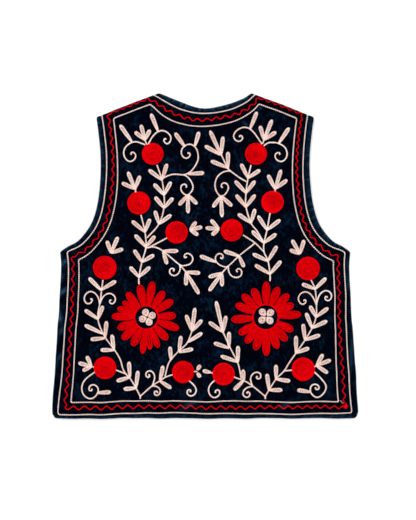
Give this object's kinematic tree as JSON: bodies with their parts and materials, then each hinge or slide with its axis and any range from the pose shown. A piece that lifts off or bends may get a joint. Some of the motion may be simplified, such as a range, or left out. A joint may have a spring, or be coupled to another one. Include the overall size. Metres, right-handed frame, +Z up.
{
  "type": "embroidered velvet waistcoat laid flat",
  "caption": "Sleeveless short waistcoat of dark velvet laid flat, back uppermost, with raised chain-stitch discs, flowers, leafy sprays and border lines.",
  "frame": {"origin": "centre of the garment's outline on the surface that it lies on", "axes": "+Z up out of the surface, +Y from the hem to the neck, +X to the garment's right as seen from above"},
  "size_m": [0.4892, 0.521, 0.0068],
  "materials": {
    "navy_velvet": "cotton velvet with a crushed, cloudy nap",
    "velvet_binding": "rolled velvet binding, slightly gathered",
    "red_yarn": "thick red chain stitch",
    "pale_yarn": "thick pale pink chain stitch"
  },
  "bodies": {
    "root": {"armhole_binding_left": "velvet_binding", "armhole_binding_right": "velvet_binding", "back": "navy_velvet", "disc_left_1": "red_yarn", "disc_left_2": "red_yarn", "disc_left_3": "red_yarn", "disc_left_4": "red_yarn", "disc_left_5": "red_yarn", "disc_left_6": "red_yarn", "disc_right_1": "red_yarn", "disc_right_2": "red_yarn", "disc_right_3": "red_yarn", "disc_right_4": "red_yarn", "disc_right_5": "red_yarn", "disc_right_6": "red_yarn", "flower_left": "red_yarn", "flower_right": "red_yarn", "front_left": "navy_velvet", "front_right": "navy_velvet", "hem_binding": "velvet_binding", "inner_line": "pale_yarn", "neck_binding": "velvet_binding", "outer_line_body": "pale_yarn", "outer_line_neck": "pale_yarn", "rosette_left": "pale_yarn", "rosette_right": "pale_yarn", "spray_left_1": "pale_yarn", "spray_left_10": "pale_yarn", "spray_left_11": "pale_yarn", "spray_left_12": "pale_yarn", "spray_left_2": "pale_yarn", "spray_left_3": "pale_yarn", "spray_left_4": "pale_yarn", "spray_left_5": "pale_yarn", "spray_left_6": "pale_yarn", "spray_left_7": "pale_yarn", "spray_left_8": "pale_yarn", "spray_left_9": "pale_yarn", "spray_right_1": "pale_yarn", "spray_right_10": "pale_yarn", "spray_right_11": "pale_yarn", "spray_right_12": "pale_yarn", "spray_right_2": "pale_yarn", "spray_right_3": "pale_yarn", "spray_right_4": "pale_yarn", "spray_right_5": "pale_yarn", "spray_right_6": "pale_yarn", "spray_right_7": "pale_yarn", "spray_right_8": "pale_yarn", "spray_right_9": "pale_yarn"}
  },
  "joints": []
}
